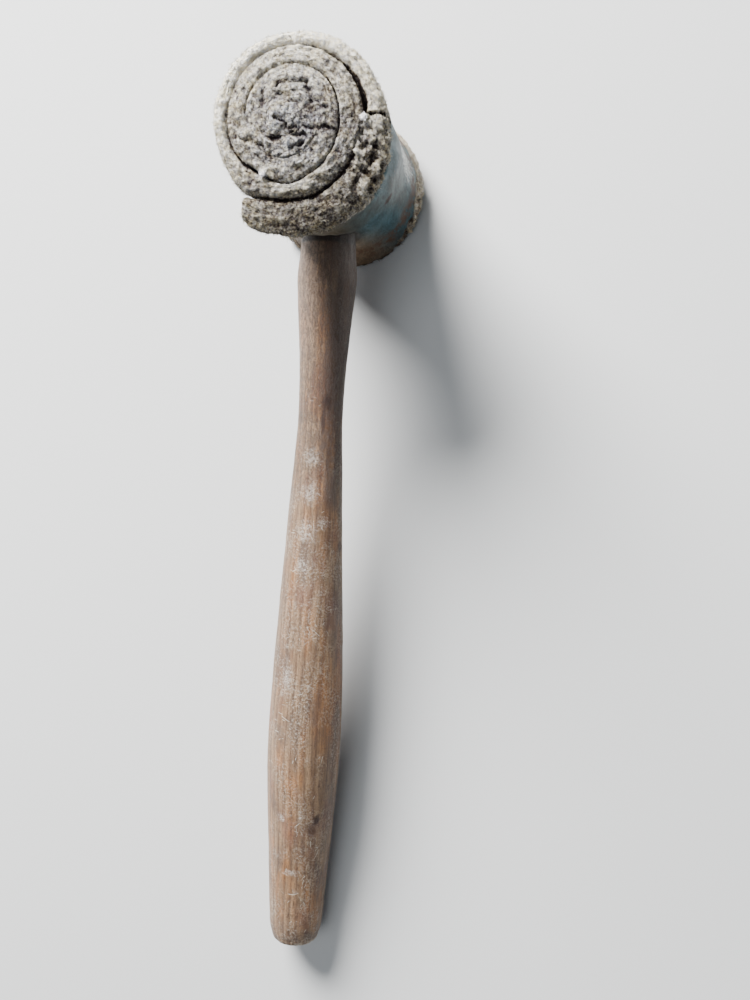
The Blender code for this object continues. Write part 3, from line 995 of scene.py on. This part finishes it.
def side_colour(s, place, cloud, fine, axes):
    """The hide's shellacked side: tan-grey, with a painted blue-green reflection to the right and painted
    white glints, and streaked.
    """
    across, along, up = axes
    plain = s.ramp(
        cloud,
        (0.3, (0.046, 0.038, 0.028)), (0.45, (0.078, 0.066, 0.05)),
        (0.55, (0.112, 0.097, 0.077)), (0.72, (0.19, 0.172, 0.142)),
    )
    # Painted reflection: the blue-green cast that the side reflects, coloured into it towards the right.
    teal_reflection = s.ramp(
        cloud,
        (0.3, (0.024, 0.042, 0.048)), (0.45, (0.034, 0.066, 0.078)),
        (0.55, (0.044, 0.088, 0.105)), (0.72, (0.075, 0.13, 0.15)),
    )
    tealward = s.add((across, TEAL_WAY[0]), (along, TEAL_WAY[1]), (s.noise(place, 0.12, 3), 8.0))
    s.colour = s.mix(s.spread(tealward, *TEAL_FROM), plain, teal_reflection)
    browned = s.times(s.spread(along, *BROWNED_ALONG), s.spread(up, *BROWNED_UP))
    s.tint((0.15, 0.098, 0.058), browned, 0.75)
    streaked = s.patches((1.6, 1.6, 0.1), (0.9, 4, 0.65), (0.5, 0.76))
    s.tint((0.34, 0.35, 0.31), streaked, 0.06)
    # Painted highlight: white glints on the shellacked side.
    painted_glints = s.patches((2.4, 2.4, 0.22), (1.0, 4, 0.72), (0.44, 0.54))
    painted_glints = s.times(painted_glints, s.spot(GLINT_CENTRE, GLINT_SIZE, 0.5, 0.2))
    s.tint((0.86, 0.88, 0.86), painted_glints, 0.9)
    weave = s.ramp(fine, (0.34, (0.58, 0.58, 0.58)), (0.66, (1.4, 1.38, 1.34)))
    s.tint(weave, 0.9, blend="MULTIPLY")
    amber = s.patches((1, 1, 0.5), (0.055, 3, 0.5), (0.5, 0.64))
    s.tint((0.09, 0.06, 0.032), amber, 0.3)
    nicks = s.patches((1, 1, 0.5), (0.75, 2), (0.68, 0.74))
    s.tint((0.1, 0.065, 0.035), nicks, 0.6)
    stain = s.patches((1, 1, 0.6), (0.3, 6, 0.75), (0.42, 0.56))
    s.tint((0.082, 0.04, 0.021), s.attribute("edge_stain"), stain, 0.9)
    # Painted shade with grime round the eye.
    s.tint((0.022, 0.016, 0.011), s.attribute("shade_and_grime"), 0.85)
    s.tint((0.03, 0.016, 0.01), s.spot(SLIT_CENTRE, SLIT_SIZE, 0.3, 0.9))


def hide_material():
    """Rawhide: shellacked on the side, frayed to suede where it has been struck."""
    s = Shader("rawhide_worn")
    place = s.place()
    fray, relief, pale = s.attribute("fray"), s.attribute("relief"), s.attribute("pale")
    axes = s.node("SeparateXYZ", {0: place})
    fibres = s.noise(s.place((0.2, 1.0, 1.0), source=s.attribute("strip", "Vector")), 2.0, 5, 0.7)
    grain = s.noise(place, 1.2, 5, 0.74, 0.2)
    clumps = s.noise(place, 0.4, 4, 0.6, 0.3)
    # Painted light and shade, laid on the hide's height before it is coloured.
    light_and_shade = s.attribute("light_and_shade")
    height = s.add((grain, 1.6), (fibres, 0.7), (clumps, 0.5), (relief, 0.2), (light_and_shade, 1.0))
    cloud = s.noise(s.place((1, 1, 0.45)), 0.13, 5, 0.6, 0.5)
    fine = s.noise(s.place((1.2, 1.2, 0.25)), 1.6, 5, 0.72)
    side_colour(s, place, cloud, fine, axes)
    side = s.colour
    frayed_colour(s, height, pale, axes[2])
    colour = s.mix(fray, side, s.colour)
    rough = s.mix(fray, s.ramp(cloud, (0.35, 0.52), (0.65, 0.38)), (0.93, 0.93, 0.93))
    bumpy = s.add((fray, 1.0), (s.spread(pale, *TUFTED), -1.0))
    fuzz_height = s.times(s.add((fibres, 0.6), (grain, 1.0)), bumpy)
    smooth_height = s.add((s.noise(s.place((1, 1, 0.3)), 0.5, 4), 1.0), (fine, 0.5))
    smooth_height = s.times(smooth_height, s.math("SUBTRACT", 1.0, fray))
    normal = s.bump(smooth_height, 0.35, 0.6, s.bump(fuzz_height, 1.5))
    return s.finish(Base_Color=colour, Roughness=rough, Normal=normal, Specular_IOR_Level=0.05)


def bare_wood(s, place):
    """Growth rings, darker streaks, and honey, murky and red patches. Gives back the streaks."""
    from_pith = s.node("Mapping", {"Vector": place, "Location": PITH, "Scale": (1, 0, 1)})[0]
    from_pith = s.vector_math("LENGTH", from_pith)["Value"]
    wavy = s.noise(s.place((0.1, 0.012, 0.1)), 1.0, 3)
    s.colour = s.ramp(
        s.math("FRACT", s.add((from_pith, 1 / RING), (wavy, 2.6))),
        (0.0, (0.225, 0.15, 0.092)), (0.45, (0.19, 0.122, 0.074)),
        (0.8, (0.125, 0.076, 0.047)), (1.0, (0.225, 0.15, 0.092)),
    )
    streaks = s.noise(s.place((1.0, 0.024, 1.0)), 1.5, 5, 0.68, 0.3)
    streaky = s.ramp(streaks, (0.32, (0.5, 0.47, 0.46)), (0.66, (1.42, 1.4, 1.36)))
    s.tint(streaky, 0.85, blend="MULTIPLY")
    honey = s.patches((0.16, 0.03, 0.16), (1.0, 3), (0.46, 0.66), 0.6)
    s.tint((0.72, 0.47, 0.22), honey, blend="OVERLAY")
    murk = s.patches((0.14, 0.05, 0.14), (1.0, 5, 0.6), (0.48, 0.68), 0.7)
    s.tint((0.085, 0.058, 0.046), murk)
    red = s.patches((0.09, 0.045, 0.09), (1.0, 2), (0.52, 0.68), 0.45)
    s.tint((0.15, 0.068, 0.045), red)
    return streaks


def neck_wear(s, across, along):
    """Painted shade with grime on the neck's right side, painted shade under the head, a painted contact
    shadow at the socket, a rubbed left side painted lighter, and wrinkled varnish on the neck. Gives back
    the wrinkles.
    """
    right = s.spread(across, -1.5, 7.0)
    # Painted shade of the head on the neck's right side, with grime in blotches.
    shade_and_grime = s.times(s.spread(along, *NECK_SHADE_AND_GRIME), s.spread(right, 0.0, 1.0, 0.06, 0.93, smooth=False))
    blotch = s.patches((0.3, 0.07, 0.3), (1.0, 5, 0.65), (0.3, 0.65), 1.0, 0.72)
    s.tint((0.03, 0.018, 0.014), shade_and_grime, blotch)
    # Painted shade under the head.
    s.tint((0.036, 0.022, 0.017), s.spread(along, *SHADE_UNDER_HEAD), 0.12)
    # Rubbed wear and painted light: the neck's left side is coloured lighter.
    rubbed = s.times(s.spread(along, *NECK_RUBBED_AND_LIT), s.spread(across, 3.0, -7.0))
    s.tint((0.33, 0.24, 0.185), rubbed, 0.6)
    wrinkles = s.patches((1.0, 0.32, 1.0), (1.5, 5, 0.8, 0.6), (0.53, 0.42))
    wrinkles = s.times(wrinkles, s.spread(along, *NECK_WRINKLED))
    s.tint((0.09, 0.062, 0.05), wrinkles, 0.65)
    # Painted contact shadow where the handle goes into the hide.
    socket_shadow = s.times(s.spread(along, *SOCKET_SHADOW), s.spread(along, 0.0, -5.0))
    s.tint((0.02, 0.013, 0.01), socket_shadow, 0.9)
    return wrinkles


def rubs_and_scratches(s, axes, mottle):
    """Pale rubs, scratches, specks, stains and a chip at the butt. Gives back the scratches."""
    across, along, up = axes
    around = s.times(s.math("ARCTAN2", across, up), TO_TURNED_AROUND)
    sheet = s.node("CombineXYZ", {0: around, 1: along})[0]
    clustered = s.spread(s.noise(sheet, 0.085, 3, 0.5), 0.5, 0.66, 0.0, 0.6)
    rubbed = 0.0
    for centre, size in PALE_RUBS:
        rubbed = s.math("MAXIMUM", rubbed, s.spot(centre, size, 1.4, 0.0))
    clustered = s.add((rubbed, 0.75), (clustered, 1.0))
    scratch = 0.0
    for cell, length, width in SCRATCHES:
        scratch = s.math("MAXIMUM", scratch, s.scratches(sheet, cell, length, width, clustered))
    scratch = s.times(scratch, s.spread(along, *SCRATCHED, 0.15, 1.0))
    s.tint((0.62, 0.58, 0.51), scratch, 0.62)
    s.tint((0.055, 0.03, 0.024), s.patches(EVEN, (1.1, 3, 0.5), (0.68, 0.73)), 0.8)
    s.tint((0.5, 0.47, 0.44), rubbed, s.spread(mottle, 0.42, 0.58, 0.05, 0.5))
    for centre, size, strength in STAINS:
        s.tint((0.036, 0.016, 0.012), s.spot(centre, size, 0.9, 0.25), strength)
    chipped = s.times(s.spread(along, BUTT_END + 3.2, BUTT_END + 0.8), s.spread(across, -1.0, 4.0))
    chipped = s.times(chipped, s.patches(EVEN, (0.5, 3), (0.4, 0.5)))
    s.tint((0.52, 0.44, 0.33), chipped, 0.8)
    return scratch


def tenon_end(s, axes):
    """The darker end grain of the tenon, with the wedge in it and the joint around the wedge."""
    across, along, up = axes
    on_end = s.spread(along, TENON_END - 2.0, TENON_END - 0.6)
    off_middle = s.math("ABSOLUTE", up)
    wedge = s.times(on_end, s.spread(off_middle, WEDGE_HALF + 0.2, WEDGE_HALF - 0.2))
    wedge = s.times(wedge, s.spread(s.math("ABSOLUTE", across), 7.7, 7.4))
    s.tint((0.095, 0.056, 0.034), on_end, 0.6)
    s.tint((0.22, 0.145, 0.085), wedge, 0.5)
    joint = s.times(s.spread(off_middle, WEDGE_HALF - 0.1, WEDGE_HALF + 0.15), on_end)
    joint = s.times(joint, s.spread(off_middle, WEDGE_HALF + 0.8, WEDGE_HALF + 0.4))
    s.tint((0.02, 0.012, 0.009), joint, 0.9)


def wood_material():
    """Old, handled hardwood."""
    s = Shader("handle_wood_worn")
    place = s.place()
    axes = s.node("SeparateXYZ", {0: place})
    across, along = axes[:2]
    streaks = bare_wood(s, place)
    wrinkles = neck_wear(s, across, along)
    pores = s.patches((4.2, 0.26, 4.2), (1.0, 3, 0.6), (0.56, 0.7), 0.75)
    s.tint((0.06, 0.034, 0.024), pores)
    mottle = s.noise(place, 1.3, 5, 0.75)
    s.tint((0.085, 0.052, 0.038), s.spread(mottle, 0.5, 0.36, 0.0, 0.55))
    worn = s.patches((0.13, 0.075, 0.13), (1.0, 4, 0.6), (0.4, 0.62))
    haze = s.times(worn, s.spread(along, *WORN_FROM, 0.1, 1.0), s.spread(mottle, 0.47, 0.62))
    s.tint((0.4, 0.35, 0.295), haze, 0.55)
    scratch = rubs_and_scratches(s, axes, mottle)
    tenon_end(s, axes)
    height = s.add(
        (streaks, 0.5), (pores, -0.5), (scratch, -0.45), (mottle, 0.6), (haze, 0.25), (wrinkles, -0.7)
    )
    rough = s.patches((0.4, 0.1, 0.4), (1.0, 4), (0.3, 0.7), 0.6, 0.4)
    normal = s.bump(height, 0.26, 0.9)
    looks = {"Base_Color": s.colour, "Roughness": rough, "Normal": normal}
    return s.finish(**looks, Specular_IOR_Level=0.34, Sheen_Weight=0.04)


def steel_material():
    """Brads: steel gone dull, with rust in patches."""
    s = Shader("brad_steel_rusted")
    rust = s.patches(EVEN, (1.6, 5, 0.65), (0.42, 0.58))
    colour = s.mix(rust, (0.3, 0.29, 0.28), (0.15, 0.055, 0.022))
    rough = s.spread(rust, 0.0, 1.0, 0.36, 0.85)
    metal = s.math("SUBTRACT", 1.0, rust)
    return s.finish(Base_Color=colour, Roughness=rough, Metallic=metal, Normal=s.bump(rust, 0.12))


# --- the stage ---


def add_camera():
    camera = link_object("camera", bpy.data.cameras.new("camera"))
    stand = Vector((63.6, -73.6, 346.1)) * MM
    forward = Vector((-0.122, -0.111, -0.986)).normalized()
    up = Vector((-0.069, 0.992, -0.103))
    up = (up - forward * up.dot(forward)).normalized()
    turn = Matrix((forward.cross(up), up, -forward)).transposed().to_4x4()
    camera.matrix_world = MALLET_AXES @ Matrix.Translation(stand) @ turn
    camera.data.sensor_width = 36.0
    camera.data.lens = 36.14
    camera.data.clip_start = 0.01
    bpy.context.scene.camera = camera


def add_light(name, place, target, size, power, colour):
    data = bpy.data.lights.new(name, "AREA")
    data.shape = "DISK"
    data.size = size
    data.energy = power
    data.color = colour
    light = link_object(name, data)
    light.location = place
    light.rotation_euler = (Vector(target) - Vector(place)).to_track_quat("-Z", "Y").to_euler()


def add_stage():
    bpy.ops.mesh.primitive_plane_add(size=40.0)
    floor = bpy.context.object
    floor.name = "floor"
    pale = Shader("floor_pale").finish(Base_Color=(0.55, 0.56, 0.57, 1.0), Roughness=0.9)
    floor.data.materials.append(pale)
    world = bpy.data.worlds.new("studio")
    bpy.context.scene.world = world
    world.use_nodes = True
    world.node_tree.nodes["Background"].inputs["Color"].default_value = (0.86, 0.93, 1.0, 1.0)
    world.node_tree.nodes["Background"].inputs["Strength"].default_value = 0.17
    add_light("key", (-0.6, 1.00, 0.69), (0, 0.03, 0.02), 0.8, 128.0, (1.0, 0.985, 0.955))
    add_light("above", (-0.35, -0.2, 1.5), (0, -0.05, 0.02), 1.0, 9.0, (0.95, 0.98, 1.0))


def finish_piece(piece, material, slot, *nodes):
    """Moves the piece's mesh from the mallet's axes into the row's, and hands the piece over."""
    piece.data.transform(piece.matrix_world)
    piece.matrix_world = Matrix.Identity(4)
    piece.data.materials.clear()
    piece.data.materials.append(material)
    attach(piece, "root")
    if nodes:
        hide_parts(*nodes)


def main():
    add_camera()
    add_stage()
    roll, hide, steel = build_roll(), hide_material(), steel_material()
    tree = BVHTree.FromObject(roll, bpy.context.evaluated_depsgraph_get())
    fuzz = build_fuzz(roll)
    brads = [build_brad(number, tree) for number in range(1, BRADS + 1)]
    for number, brad in enumerate(brads, start=1):
        finish_piece(brad, steel, "brad_steel", f"seam_brad_{number}")
    finish_piece(roll, hide, "rawhide", "hide_roll")
    finish_piece(fuzz, hide, "rawhide")
    wood = wood_material()
    finish_piece(build_handle(), wood, "handle_wood", "handle")
    finish_piece(build_wedge(), wood, "wedge_wood", "handle_wedge")


main()
